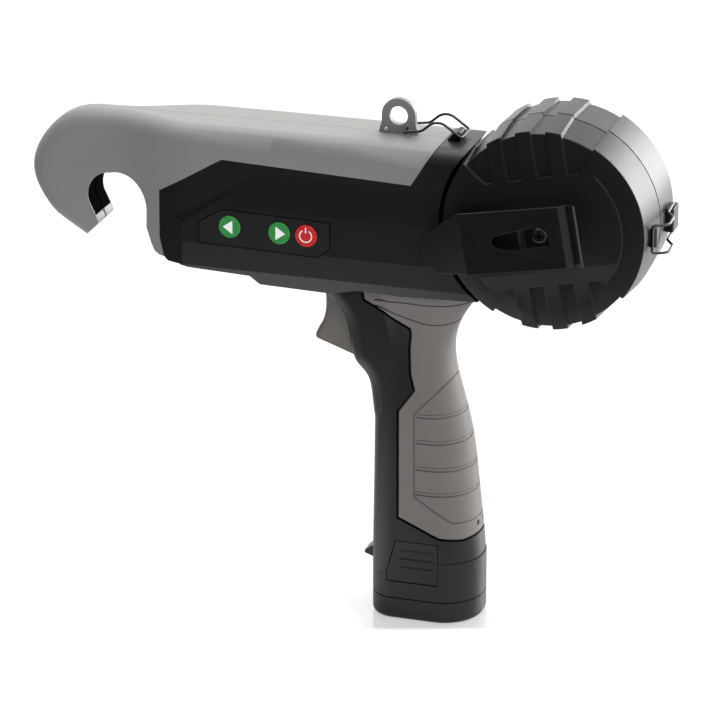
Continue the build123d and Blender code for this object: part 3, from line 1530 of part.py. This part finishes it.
with BuildPart() as pinch_roller:
    round_bar(across(roller_x, pinch_axis_z), pinch_roller_radius, *roller_y)
    round_bar(across(roller_x, pinch_axis_z), pinch_pin_radius + running, -20, 20, Mode.SUBTRACT)
save(pinch_roller, "pinch_roller")

with BuildPart() as pinch_arm:
    plate_y = (roller_y[1] + fit, roller_y[1] + fit + 2.4)
    foot_z = gearbox_z[1] + 0.02
    block((roller_x - 4, roller_x + 4), plate_y, (foot_z, pinch_axis_z + 4))
    block((roller_x - 8, roller_x + 8), (plate_y[0], gearbox_y[0] + 9), (foot_z, foot_z + 2.0))
    pin_head_y = (roller_y[0] - fit - 1.2, roller_y[0] - fit)
    round_bar(across(roller_x, pinch_axis_z), pinch_pin_radius, pin_head_y[0], plate_y[0] + 1)
    round_bar(across(roller_x, pinch_axis_z), pinch_pin_radius + 1.0, *pin_head_y)
save(pinch_arm, "pinch_arm")

with BuildPart() as wire_guide:
    round_bar(along(0, wire_line_z), guide_radius, *guide_x)
    round_bar(along(0, wire_line_z), guide_bore, -200, 0, Mode.SUBTRACT)
save(wire_guide, "wire_guide")

with BuildPart() as cutter_blade:
    block(blade_x, (-blade_half_width, blade_half_width), blade_z)
    chamfer(cutter_blade.edges().filter_by(Axis.Y).sort_by(Axis.Z)[:2], length=1.0)
    round_bar(along(0, wire_line_z), guide_bore, -200, 0, Mode.SUBTRACT)
save(cutter_blade, "cutter_blade")

with BuildPart() as wire_strand:
    winding_x = reel_x - sqrt(winding_radius**2 - (wire_line_z - reel_z) ** 2)
    round_bar(along(0, wire_line_z), tie_wire_radius, strand_start_x, winding_x - strand_gap)
save(wire_strand, "wire_strand")
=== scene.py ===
# %% [markdown]
# # Electric vine tying tool
# The tool ties vine shoots to a trellis wire: the hooked nose goes round both, the trigger feeds a thin
# coated wire round the hook, and a twister closes the knot. The pieces come ready in their real size, so
# this lesson is about looks: camera, light, finishes, rounded edges, and the small pieces that only the
# eye needs, which are the signs on the buttons and the turns of wire on the spool.

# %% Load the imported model
import json
import math

import bmesh
import bpy
from mathutils import Matrix, Vector


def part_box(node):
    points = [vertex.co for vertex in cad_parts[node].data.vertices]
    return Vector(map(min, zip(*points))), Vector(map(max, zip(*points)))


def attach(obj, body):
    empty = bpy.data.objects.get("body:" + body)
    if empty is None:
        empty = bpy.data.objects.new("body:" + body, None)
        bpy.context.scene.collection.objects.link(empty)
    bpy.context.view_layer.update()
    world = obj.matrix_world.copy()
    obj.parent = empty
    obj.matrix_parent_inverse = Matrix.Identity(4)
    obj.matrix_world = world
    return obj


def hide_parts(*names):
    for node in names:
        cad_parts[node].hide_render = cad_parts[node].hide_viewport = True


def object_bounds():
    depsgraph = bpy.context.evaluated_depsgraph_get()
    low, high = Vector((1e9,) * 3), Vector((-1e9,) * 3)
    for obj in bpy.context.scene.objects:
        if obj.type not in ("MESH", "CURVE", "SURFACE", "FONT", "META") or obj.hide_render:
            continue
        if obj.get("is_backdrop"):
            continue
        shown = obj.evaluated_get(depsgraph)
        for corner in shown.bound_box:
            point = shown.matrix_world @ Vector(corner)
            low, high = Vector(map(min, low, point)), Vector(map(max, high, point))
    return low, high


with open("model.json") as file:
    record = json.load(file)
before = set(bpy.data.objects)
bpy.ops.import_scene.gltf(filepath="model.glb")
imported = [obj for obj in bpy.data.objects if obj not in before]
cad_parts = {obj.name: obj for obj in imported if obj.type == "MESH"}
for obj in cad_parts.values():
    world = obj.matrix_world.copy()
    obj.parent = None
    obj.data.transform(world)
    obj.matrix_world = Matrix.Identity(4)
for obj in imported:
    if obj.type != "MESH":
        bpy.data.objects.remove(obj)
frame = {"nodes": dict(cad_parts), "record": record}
cad_low, cad_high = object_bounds()
nodes = frame["nodes"]
scene = bpy.context.scene
mm = 0.001
print("nodes:", len(nodes), "CAD box in mm:", [round((b - a) / mm, 1) for a, b in zip(cad_low, cad_high)])

# %% [markdown]
# ## Camera
# A product photograph is taken from far away with a long lens, so that the drum at the back looks hardly
# smaller than it is. The camera stands 2 m off, turned a little towards the drum and looking down on it.

# %% Camera
camera_distance = 2000 * mm
camera_turn = math.radians(17.6)
camera_rise = math.radians(21.0)
camera_target = Vector((-37.4, 0.0, 129.2)) * mm
focal_length = 200      # Blender takes this and the sensor in millimetres
sensor_width = 36

away = Vector((
    math.sin(camera_turn) * math.cos(camera_rise),
    -math.cos(camera_turn) * math.cos(camera_rise),
    math.sin(camera_rise),
))
lens = bpy.data.cameras.new("photo_camera")
lens.lens = focal_length
lens.sensor_width = sensor_width
camera = bpy.data.objects.new("photo_camera", lens)
camera.location = camera_target + away * camera_distance
camera.rotation_mode = "QUATERNION"
camera.rotation_quaternion = (-away).to_track_quat("-Z", "Y")
scene.collection.objects.link(camera)
scene.camera = camera
print("camera at", [round(c, 3) for c in camera.location])

# %% [markdown]
# ## Two helpers for node trees
# The world and all finishes are small node trees. One function turns a colour as a painter reads it, an
# sRGB hex value, into the linear numbers that light is added up in. The other adds one node, sets its
# properties, and fills its inputs with numbers or links.

# %% Helpers for node trees


def linear(colour):
    """Linear colour of an sRGB hex value."""
    channels = [int(colour[i:i + 2], 16) / 255 for i in (1, 3, 5)]
    return [c / 12.92 if c <= 0.04045 else ((c + 0.055) / 1.055) ** 2.4 for c in channels] + [1.0]


def add_node(tree, kind, inputs=None, **settings):
    """Add one node. Settings are its properties; inputs are values, or sockets to link from."""
    node = tree.nodes.new(kind)
    for name, value in settings.items():
        setattr(node, name, value)
    for name, value in (inputs or {}).items():
        if isinstance(value, bpy.types.NodeSocket):
            tree.links.new(value, node.inputs[name])
        else:
            node.inputs[name].default_value = value
    return node


print("white paper in linear light:", [round(c, 3) for c in linear("#f2f2f2")])

# %% [markdown]
# ## Light
# The tool stands in a white light tent that is open towards the camera. The cloth behind and to the right
# is bright and the open side is dark, and that dark side is what black plastic mirrors, so it stays black.
# A large lamp above makes the tops nearly white, one from the right rear draws the drum's rim, and a weaker
# one in front fills the side that the camera sees. The plain sRGB view keeps colours as the finishes name
# them.

# %% Tent and lamps
scene.view_settings.view_transform = "Standard"

tent_front = 0.03
tent_back = 2.0
tent_turn = 0.5         # cosine to the bright way at which the fading ends
tent_bright = Vector((0.5, 0.87, 0.0))
world = bpy.data.worlds.new("light_tent")
world.use_nodes = True
tent = world.node_tree
way = add_node(tent, "ShaderNodeTexCoord").outputs["Generated"]
facing = add_node(tent, "ShaderNodeVectorMath", {0: way, 1: tent_bright}, operation="DOT_PRODUCT")
fade = add_node(tent, "ShaderNodeMapRange", {
    "Value": facing.outputs["Value"],
    "From Min": -tent_turn, "From Max": tent_turn, "To Min": tent_front, "To Max": tent_back,
})
tent.links.new(fade.outputs["Result"], tent.nodes["Background"].inputs["Strength"])
tent.nodes["Background"].inputs["Color"].default_value = (1.0, 1.0, 1.0, 1.0)
scene.world = world

tool_middle = (cad_low + cad_high) / 2


def lamp(name, place, width, height, power):
    """A soft rectangular lamp that shines from a place, in metres, on the middle of the tool."""
    data = bpy.data.lights.new(name, "AREA")
    data.shape = "RECTANGLE"
    data.size = width
    data.size_y = height
    data.energy = power
    lamp_object = bpy.data.objects.new(name, data)
    lamp_object.location = place
    lamp_object.rotation_mode = "QUATERNION"
    lamp_object.rotation_quaternion = (tool_middle - Vector(place)).to_track_quat("-Z", "Y")
    scene.collection.objects.link(lamp_object)


lamp("top_lamp", (-0.7, 0.3, 1.8), width=1.4, height=1.0, power=21)
lamp("rear_lamp", (1.1, 1.4, 0.5), width=1.4, height=1.0, power=45)
lamp("front_lamp", (0.6, -1.5, 1.9), width=0.8, height=0.8, power=18)

# %% [markdown]
# ## Finishes
# Every surface here has the same build: a colour that clouds a little, because pigment never mixes
# perfectly, and a fine relief that its making leaves, such as the grain of an etched mould or the streaks
# of drawn wire. What differs is colour, gloss, and how large and how long the grain is. The grain of a real
# mould is about 0.2 mm, finer than a pixel here, so it is drawn some times coarser to show at all. Patterns
# read Object coordinates in metres, so each scale is one over a real size.

# %% Helper for finishes
cloud_size = 14 * mm
cloud_detail = 4.0
grain_detail = 2.0
gloss_spread = 0.15     # how far the grain varies the roughness, as a share of it


def finish(name, colour, roughness, grain, depth, clouds=0.1, streaks=(1, 1, 1), constants=None):
    """A clouded, grained material. Grain is its size and depth its height, both in millimetres."""
    material = bpy.data.materials.new(name)
    material.use_nodes = True
    tree = material.node_tree
    shader = tree.nodes["Principled BSDF"]
    place = add_node(tree, "ShaderNodeTexCoord").outputs["Object"]
    drawn = add_node(tree, "ShaderNodeMapping", {"Vector": place, "Scale": streaks}).outputs["Vector"]
    patches = add_node(tree, "ShaderNodeTexNoise", {
        "Vector": drawn, "Scale": 1 / cloud_size, "Detail": cloud_detail,
    })
    grains = add_node(tree, "ShaderNodeTexNoise", {
        "Vector": drawn, "Scale": 1 / (grain * mm), "Detail": grain_detail,
    })
    deep, pale = ([min(1.0, c * k) for c in linear(colour)[:3]] + [1.0] for k in (1 - clouds, 1 + clouds))
    # A Mix node has sockets for each kind of data: for colours, 6 and 7 go in and 2 comes out.
    tint = add_node(tree, "ShaderNodeMix", {0: patches.outputs["Fac"], 6: deep, 7: pale}, data_type="RGBA")
    gloss = add_node(tree, "ShaderNodeMapRange", {
        "Value": grains.outputs["Fac"],
        "To Min": (1 - gloss_spread) * roughness, "To Max": (1 + gloss_spread) * roughness,
    })
    relief = add_node(tree, "ShaderNodeBump", {"Height": grains.outputs["Fac"], "Distance": depth * mm})
    tree.links.new(tint.outputs[2], shader.inputs["Base Color"])
    tree.links.new(gloss.outputs["Result"], shader.inputs["Roughness"])
    tree.links.new(relief.outputs["Normal"], shader.inputs["Normal"])
    for socket, value in (constants or {}).items():
        shader.inputs[socket].default_value = value
    return material


# %% [markdown]
# ### Plastics and rubber
# The casing is ABS from an etched mould, which scatters most of its gloss. The grip is a soft TPE moulded
# over it, duller still. The panel is a printed polycarbonate film, and the keys are glossy silicone.

# %% Plastics and rubber
etched = {"IOR": 1.53, "Specular IOR Level": 0.35}
etched_black = {"IOR": 1.53, "Specular IOR Level": 0.27}
no_gloss = {"Specular IOR Level": 0.0}
polycarbonate = {"IOR": 1.58}
silicone = {"IOR": 1.43}
polypropylene = {"IOR": 1.49}
finishes = {
    # Grey ABS: an even mid grey with a matt, faintly sparkling surface.
    "grey_plastic": finish(
        "grey_etched_abs", "#7f7d7b", roughness=0.52, grain=0.9, depth=0.02, clouds=0.05, constants=etched,
    ),
    # Black ABS: deep black that only shines softly where an edge turns to the light.
    "black_plastic": finish(
        "black_etched_abs", "#161617", roughness=0.42, grain=0.9, depth=0.02, constants=etched_black,
    ),
    # TPE: dull warm grey, with no clear reflection at all.
    "soft_grip": finish(
        "grey_moulded_tpe", "#6b6866", roughness=0.72, grain=1.1, depth=0.04, clouds=0.06, constants=etched,
    ),
    # Nylon liner of the hook: very dark and dull, rubbed by the tie wire that slides round on it.
    "liner_black": finish(
        "black_moulded_nylon", "#0a0a0b", roughness=0.6, grain=1.5, depth=0.01, constants=no_gloss,
    ),
    # Polycarbonate film: smooth satin, a little greyer than the casing.
    "panel_film": finish(
        "black_satin_polycarbonate", "#161618", roughness=0.36, grain=0.5, depth=0.004,
        constants=polycarbonate,
    ),
    # Silicone keys: saturated colour under a wet-looking gloss.
    "green_button": finish(
        "green_gloss_silicone", "#2f8c40", roughness=0.3, grain=2.0, depth=0.004, clouds=0.04,
        constants=silicone,
    ),
    "red_button": finish(
        "red_gloss_silicone", "#c21f22", roughness=0.3, grain=2.0, depth=0.004, clouds=0.04,
        constants=silicone,
    ),
    # The trigger is the casing's grey in a darker batch.
    "trigger_grey": finish(
        "dark_grey_etched_abs", "#64615d", roughness=0.5, grain=0.9, depth=0.02, clouds=0.06,
        constants=etched,
    ),
    # Glass-filled nylon of the gearbox and switch: dark, with fibres that lie along the flow.
    "gearbox_plastic": finish(
        "glass_filled_nylon", "#1c1c1e", roughness=0.55, grain=0.5, depth=0.03, clouds=0.25,
        streaks=(0.2, 1, 1),
    ),
    # Spool: natural white polypropylene, slightly waxy.
    "spool_plastic": finish(
        "white_polypropylene", "#d8d7d1", roughness=0.42, grain=3.0, depth=0.02, clouds=0.03,
        constants=polypropylene,
    ),
}
print("plastics:", sorted(finishes))

# %% [markdown]
# ### Metals, board and cells
# A metal takes its colour from its reflections, so Metallic is 1 and the tint is pale. Drawn wire and turned
# steel carry fine streaks, made by stretching the grain along one axis.

# %% Metals, board and cells
metal = {"Metallic": 1.0}
finishes |= {
    # Powder-coated sheet of the belt hook: glossy black, with the dimples of orange peel.
    "black_sheet": finish(
        "black_powder_coat", "#161617", roughness=0.22, grain=1.6, depth=0.02, constants=etched,
    ),
    # Black oxide on screws: dark metal with an oily shine.
    "black_screw": finish(
        "black_oxide_steel", "#5a5a5c", roughness=0.42, grain=0.6, depth=0.01, clouds=0.2, constants=metal,
    ),
    # Spring wire, drawn through a die and left dark with its scale.
    "wire_steel": finish(
        "drawn_spring_wire", "#4a4a4a", roughness=0.4, grain=0.3, depth=0.008, clouds=0.15,
        streaks=(0.1, 1, 1), constants=metal,
    ),
    # Turned and ground steel inside the tool.
    "steel": finish(
        "turned_steel", "#b4b3b0", roughness=0.3, grain=0.3, depth=0.006, clouds=0.08,
        streaks=(1, 0.15, 1), constants=metal,
    ),
    "roller_steel": finish(
        "knurled_roller_steel", "#9a9997", roughness=0.38, grain=0.7, depth=0.06, clouds=0.12,
        streaks=(1, 0.2, 1), constants=metal,
    ),
    # Zinc-plated motor cans: cold grey with soft spangles.
    "motor_can": finish(
        "zinc_plated_steel", "#a9acb0", roughness=0.36, grain=5.0, depth=0.01, clouds=0.12, constants=metal,
    ),
    # Brass contacts and bush.
    "brass": finish(
        "bare_brass", "#c9a45c", roughness=0.3, grain=0.5, depth=0.006, clouds=0.1, constants=metal,
    ),
    # Solder-resist coated board and shrink-wrapped cells.
    "board_green": finish(
        "coated_circuit_board", "#14502c", roughness=0.3, grain=0.8, depth=0.02, clouds=0.3,
        streaks=(1, 1, 0.3),
    ),
    "cell_wrap": finish(
        "blue_shrink_wrap", "#274f7d", roughness=0.28, grain=2.5, depth=0.01, clouds=0.06,
    ),
    # Tie wire: a steel core in kraft paper, so brown and fibrous along its run.
    "tie_wire": finish(
        "paper_coated_wire", "#6d5a3b", roughness=0.7, grain=0.5, depth=0.03, clouds=0.3,
    ),
}
for part in frame["record"]["subparts"]:
    piece = nodes[part["node"]]
    piece.data.materials.clear()
    piece.data.materials.append(finishes[part["material_slot"]])

# %% [markdown]
# ## Table and floor
# The tool stands on a small table of white acrylic that glows evenly, so no shadow shows on it, and its
# foot is mirrored a little, until a matt white card begins a short way in front. Below the front of the
# casing the table carries a painted pool of light, a brighter spot of emission with no lamp under it, and it
# falls off towards the battery. Black plastic mirrors the table and this painted glow, which lightens the
# low parts, but past the table's edge it has to see the dark open side of the tent. The floor that fills the
# picture behind has the same finish, and is kept out of reflections.

# %% Table and floor
# Painted pool of light on the table: emission that peaks near the front of the casing, in place of a lamp
# below it.
painted_glow_middle = Vector((-130, -90, 0)) * mm
glow_radius = 45 * mm
glow_fade = 120 * mm
card_start = 27 * mm    # from the origin towards the camera
card_edge = 3 * mm
table_mirror = 0.5
table_glow = 0.5
card_glow = 0.8
painted_glow_peak = 2.4
table_half = 0.3        # half widths in metres
floor_half = 6.0
table_drop = 0.05 * mm  # a hair below the foot, so that the two faces don't share a plane
floor_drop = 0.5 * mm

towards_camera = Vector((math.sin(camera_turn), -math.cos(camera_turn), 0.0))
acrylic = finish(
    "white_acrylic_painted_glow", "#808080", roughness=0.18, grain=40.0, depth=0.0, clouds=0.01,
    constants={"Emission Color": linear("#ffffff")},
)
tree = acrylic.node_tree
place = add_node(tree, "ShaderNodeTexCoord").outputs["Object"]
ahead = add_node(tree, "ShaderNodeVectorMath", {0: place, 1: towards_camera}, operation="DOT_PRODUCT")
card = {"Value": ahead.outputs["Value"], "From Min": card_start, "From Max": card_start + card_edge}
mirror = add_node(tree, "ShaderNodeMapRange", card | {"To Min": table_mirror, "To Max": 0.0})
plain_glow = add_node(tree, "ShaderNodeMapRange", card | {"To Min": table_glow, "To Max": card_glow})
apart = add_node(tree, "ShaderNodeVectorMath", {0: place, 1: painted_glow_middle}, operation="DISTANCE")
# Painted pool of light: the emission rises from the even glow to a peak near the front of the casing.
glow = add_node(tree, "ShaderNodeMapRange", {
    "Value": apart.outputs["Value"], "From Min": glow_radius, "From Max": glow_fade,
    "To Min": painted_glow_peak, "To Max": plain_glow.outputs["Result"],
})
surface = tree.nodes["Principled BSDF"].inputs
tree.links.new(mirror.outputs["Result"], surface["Specular IOR Level"])
tree.links.new(glow.outputs["Result"], surface["Emission Strength"])
for name, half, drop in (("table", table_half, table_drop), ("floor", floor_half, floor_drop)):
    sheet = bmesh.new()
    bmesh.ops.create_grid(sheet, x_segments=1, y_segments=1, size=half)
    bmesh.ops.translate(sheet, verts=sheet.verts, vec=(0, 0, -drop))
    mesh = bpy.data.meshes.new(name)
    sheet.to_mesh(mesh)
    sheet.free()
    mesh.materials.append(acrylic)
    stage = bpy.data.objects.new(name, mesh)
    stage.visible_glossy = name == "table"
    scene.collection.objects.link(stage)
    stage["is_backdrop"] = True
    print(name, "half width in m:", half)

# %% [markdown]
# ## Rounded edges
# No moulded or bent edge is truly sharp, and the thin bright line along an edge is what makes plastic look
# real. The drum, the belt hook and the small fittings are mostly flat faces, so a Bevel modifier can round
# their edges: a Weld first joins the loose triangles, and a planar Decimate takes away the lines across
# flat faces, which would stop the bevel. Weighted normals then keep the flats flat. A bevel that is wider
# than the thin strips beside the drum's screw bosses would throw spikes, so the right half gets a smaller
# one. The casing halves and the grip already come with curved edges and exact normals, so they are left
# alone.

# %% Rounded edges
edge_rounds = {         # in millimetres
    "reel_cover": 0.4, "reel_case": 0.2,
    "belt_hook": 0.25,
    "left_release_tab": 0.3, "right_release_tab": 0.3,
    "front_catch": 0.4, "rear_catch": 0.4, "rear_lug": 0.4,
}
edge_angle = math.radians(25)
edge_segments = 2
flat_angle = math.radians(0.5)
join_distance = 0.002 * mm
flat_weight = 80        # 50 is neutral, and more lets the large faces set the shading
for name, round_size in edge_rounds.items():
    piece = nodes[name]
    weld = piece.modifiers.new("join_faces", "WELD")
    weld.merge_threshold = join_distance
    flat = piece.modifiers.new("flat_faces", "DECIMATE")
    flat.decimate_type = "DISSOLVE"
    flat.angle_limit = flat_angle
    edge = piece.modifiers.new("round_edges", "BEVEL")
    edge.width = round_size * mm
    edge.segments = edge_segments
    edge.limit_method = "ANGLE"
    edge.angle_limit = edge_angle
    edge.use_clamp_overlap = False
    shade = piece.modifiers.new("even_shading", "WEIGHTED_NORMAL")
    shade.weight = flat_weight
print("rounded:", len(edge_rounds), "nodes")

# %% [markdown]
# ## Signs on the buttons
# Two arrows and a power sign are printed on the keys in white. Each is a thin raised film, drawn flat from
# one of Blender's own shapes and given a thickness, and it rides on its key so that it goes in with it.

# %% Signs on the buttons
sign_thickness = 0.12 * mm
arrow_length = 5.0 * mm
arrow_height = 7.0 * mm
ring_radius = 3.1 * mm
ring_line = 0.55 * mm
ring_gap = math.radians(64)
ring_steps = 40
bar_low = 1.6 * mm
bar_high = 4.4 * mm
sign_print = finish("white_screen_print", "#f1f1ef", roughness=0.4, grain=0.5, depth=0.004, clouds=0.02)


def arrow(shape, way):
    """A triangle that points left (-1) or right (+1)."""
    bmesh.ops.create_circle(shape, cap_ends=True, segments=3, radius=1.0)
    tips = [v.co.copy() for v in shape.verts]
    middle = sum(tips, Vector()) / 3
    turn = math.atan2(tips[0].y - middle.y, tips[0].x - middle.x)
    bmesh.ops.rotate(shape, verts=shape.verts, cent=middle, matrix=Matrix.Rotation(-turn, 3, "Z"))
    # A triangle in a circle of radius 1 is 1.5 long from base to tip, and its base is the root of 3.
    bmesh.ops.scale(shape, verts=shape.verts, vec=(way * arrow_length / 1.5, arrow_height / math.sqrt(3), 1))


def power(shape):
    """An open ring with a bar in its gap."""
    ring = bmesh.ops.create_grid(shape, x_segments=ring_steps, y_segments=1, size=0.5)["verts"]
    for vertex in ring:
        angle = math.pi / 2 + ring_gap / 2 + (vertex.co.x + 0.5) * (2 * math.pi - ring_gap)
        reach = ring_radius + vertex.co.y * ring_line
        vertex.co = Vector((math.cos(angle), math.sin(angle), 0)) * reach
    bar = bmesh.ops.create_grid(shape, x_segments=1, y_segments=1, size=0.5)["verts"]
    bmesh.ops.scale(shape, verts=bar, vec=(ring_line, bar_high - bar_low, 1))
    bmesh.ops.translate(shape, verts=bar, vec=(0, (bar_low + bar_high) / 2, 0))


def sign(name, button, draw, *options):
    """Draw a sign flat, thicken it, and set it upright on the face of its button."""
    shape = bmesh.new()
    draw(shape, *options)
    rise = bmesh.ops.extrude_face_region(shape, geom=shape.faces[:], use_keep_orig=True)["geom"]
    raised = [item for item in rise if isinstance(item, bmesh.types.BMVert)]
    bmesh.ops.translate(shape, verts=raised, vec=(0, 0, sign_thickness))
    low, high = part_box(button)
    face = Matrix.Translation(((low.x + high.x) / 2, low.y, (low.z + high.z) / 2))
    bmesh.ops.transform(shape, verts=shape.verts, matrix=face @ Matrix.Rotation(math.pi / 2, 4, "X"))
    bmesh.ops.recalc_face_normals(shape, faces=shape.faces)
    mesh = bpy.data.meshes.new(name)
    shape.to_mesh(mesh)
    shape.free()
    mesh.materials.append(sign_print)
    piece = bpy.data.objects.new(name, mesh)
    scene.collection.objects.link(piece)
    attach(piece, button)
    print(name, "faces:", len(mesh.polygons))


sign("back_arrow", "back_button", arrow, -1)
sign("forward_arrow", "forward_button", arrow, 1)
sign("power_sign", "power_button", power)

# %% [markdown]
# ## Winding on the spool
# With the cover off, the spool shows its tie wire lying turn beside turn. The plain ring that the model
# carries there is replaced by a core with one layer of wire round it. A spin that also moves along the axis
# at each step lays a small circle out as one turn of a helix. Its copies, each one pitch further on, meet
# end to end, so that merging the doubles makes them one unbroken wire.

# %% Winding on the spool
wire_radius = 0.3 * mm
wire_pitch = 0.66 * mm
wire_sides = 6
turn_steps = 48
end_gap = 0.2 * mm
hub_radius = 14.0 * mm
core_depth = 1.6 * wire_radius  # the core hides the inner fifth of the wire's thickness
core_steps = 96

low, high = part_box("tie_wire")
axle = (low + high) / 2
outer = (high.z - low.z) / 2
width = high.y - low.y
turns = int((width - 2 * wire_radius) / wire_pitch)
winding = bmesh.new()
start = bmesh.ops.create_circle(winding, segments=wire_sides, radius=wire_radius)["verts"]
bmesh.ops.rotate(winding, verts=start, matrix=Matrix.Rotation(math.pi / 2, 3, "Y"))
first_turn = Vector((axle.x, low.y + wire_radius + end_gap, axle.z + outer - wire_radius))
bmesh.ops.translate(winding, verts=start, vec=first_turn)
bmesh.ops.spin(
    winding, geom=start + winding.edges[:], cent=axle, axis=(0, 1, 0), dvec=(0, wire_pitch / turn_steps, 0),
    angle=2 * math.pi, steps=turn_steps, use_merge=False,
)
turn = winding.verts[:] + winding.edges[:] + winding.faces[:]
for count in range(1, turns):
    copy = bmesh.ops.duplicate(winding, geom=turn)["geom"]
    moved = [item for item in copy if isinstance(item, bmesh.types.BMVert)]
    bmesh.ops.translate(winding, verts=moved, vec=(0, count * wire_pitch, 0))
bmesh.ops.remove_doubles(winding, verts=winding.verts, dist=wire_radius / 50)
bmesh.ops.holes_fill(winding, edges=[e for e in winding.edges if e.is_boundary], sides=wire_sides)
core_radius = outer - core_depth
core_profile = [(hub_radius, low.y), (core_radius, low.y), (core_radius, high.y), (hub_radius, high.y)]
corners = [winding.verts.new((axle.x, y, axle.z + r)) for r, y in core_profile]
sides = [winding.edges.new(ends) for ends in zip(corners, corners[1:] + corners[:1])]
bmesh.ops.spin(
    winding, geom=corners + sides, cent=axle, axis=(0, 1, 0),
    angle=2 * math.pi, steps=core_steps, use_merge=True,
)
bmesh.ops.recalc_face_normals(winding, faces=winding.faces)
winding_mesh = bpy.data.meshes.new("wire_winding")
winding.to_mesh(winding_mesh)
winding.free()
winding_mesh.materials.append(finishes["tie_wire"])
wire_winding = bpy.data.objects.new("wire_winding", winding_mesh)
scene.collection.objects.link(wire_winding)
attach(wire_winding, "spool")
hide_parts("tie_wire")
print("winding:", turns, "turns,", len(winding_mesh.polygons), "faces")

# %% [markdown]
# ## Sizes
# The box of the dressed model is measured, as the imported one's was at the start. The dressed
# model has to stay within the box of the imported one.

# %% Sizes and finish
low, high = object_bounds()
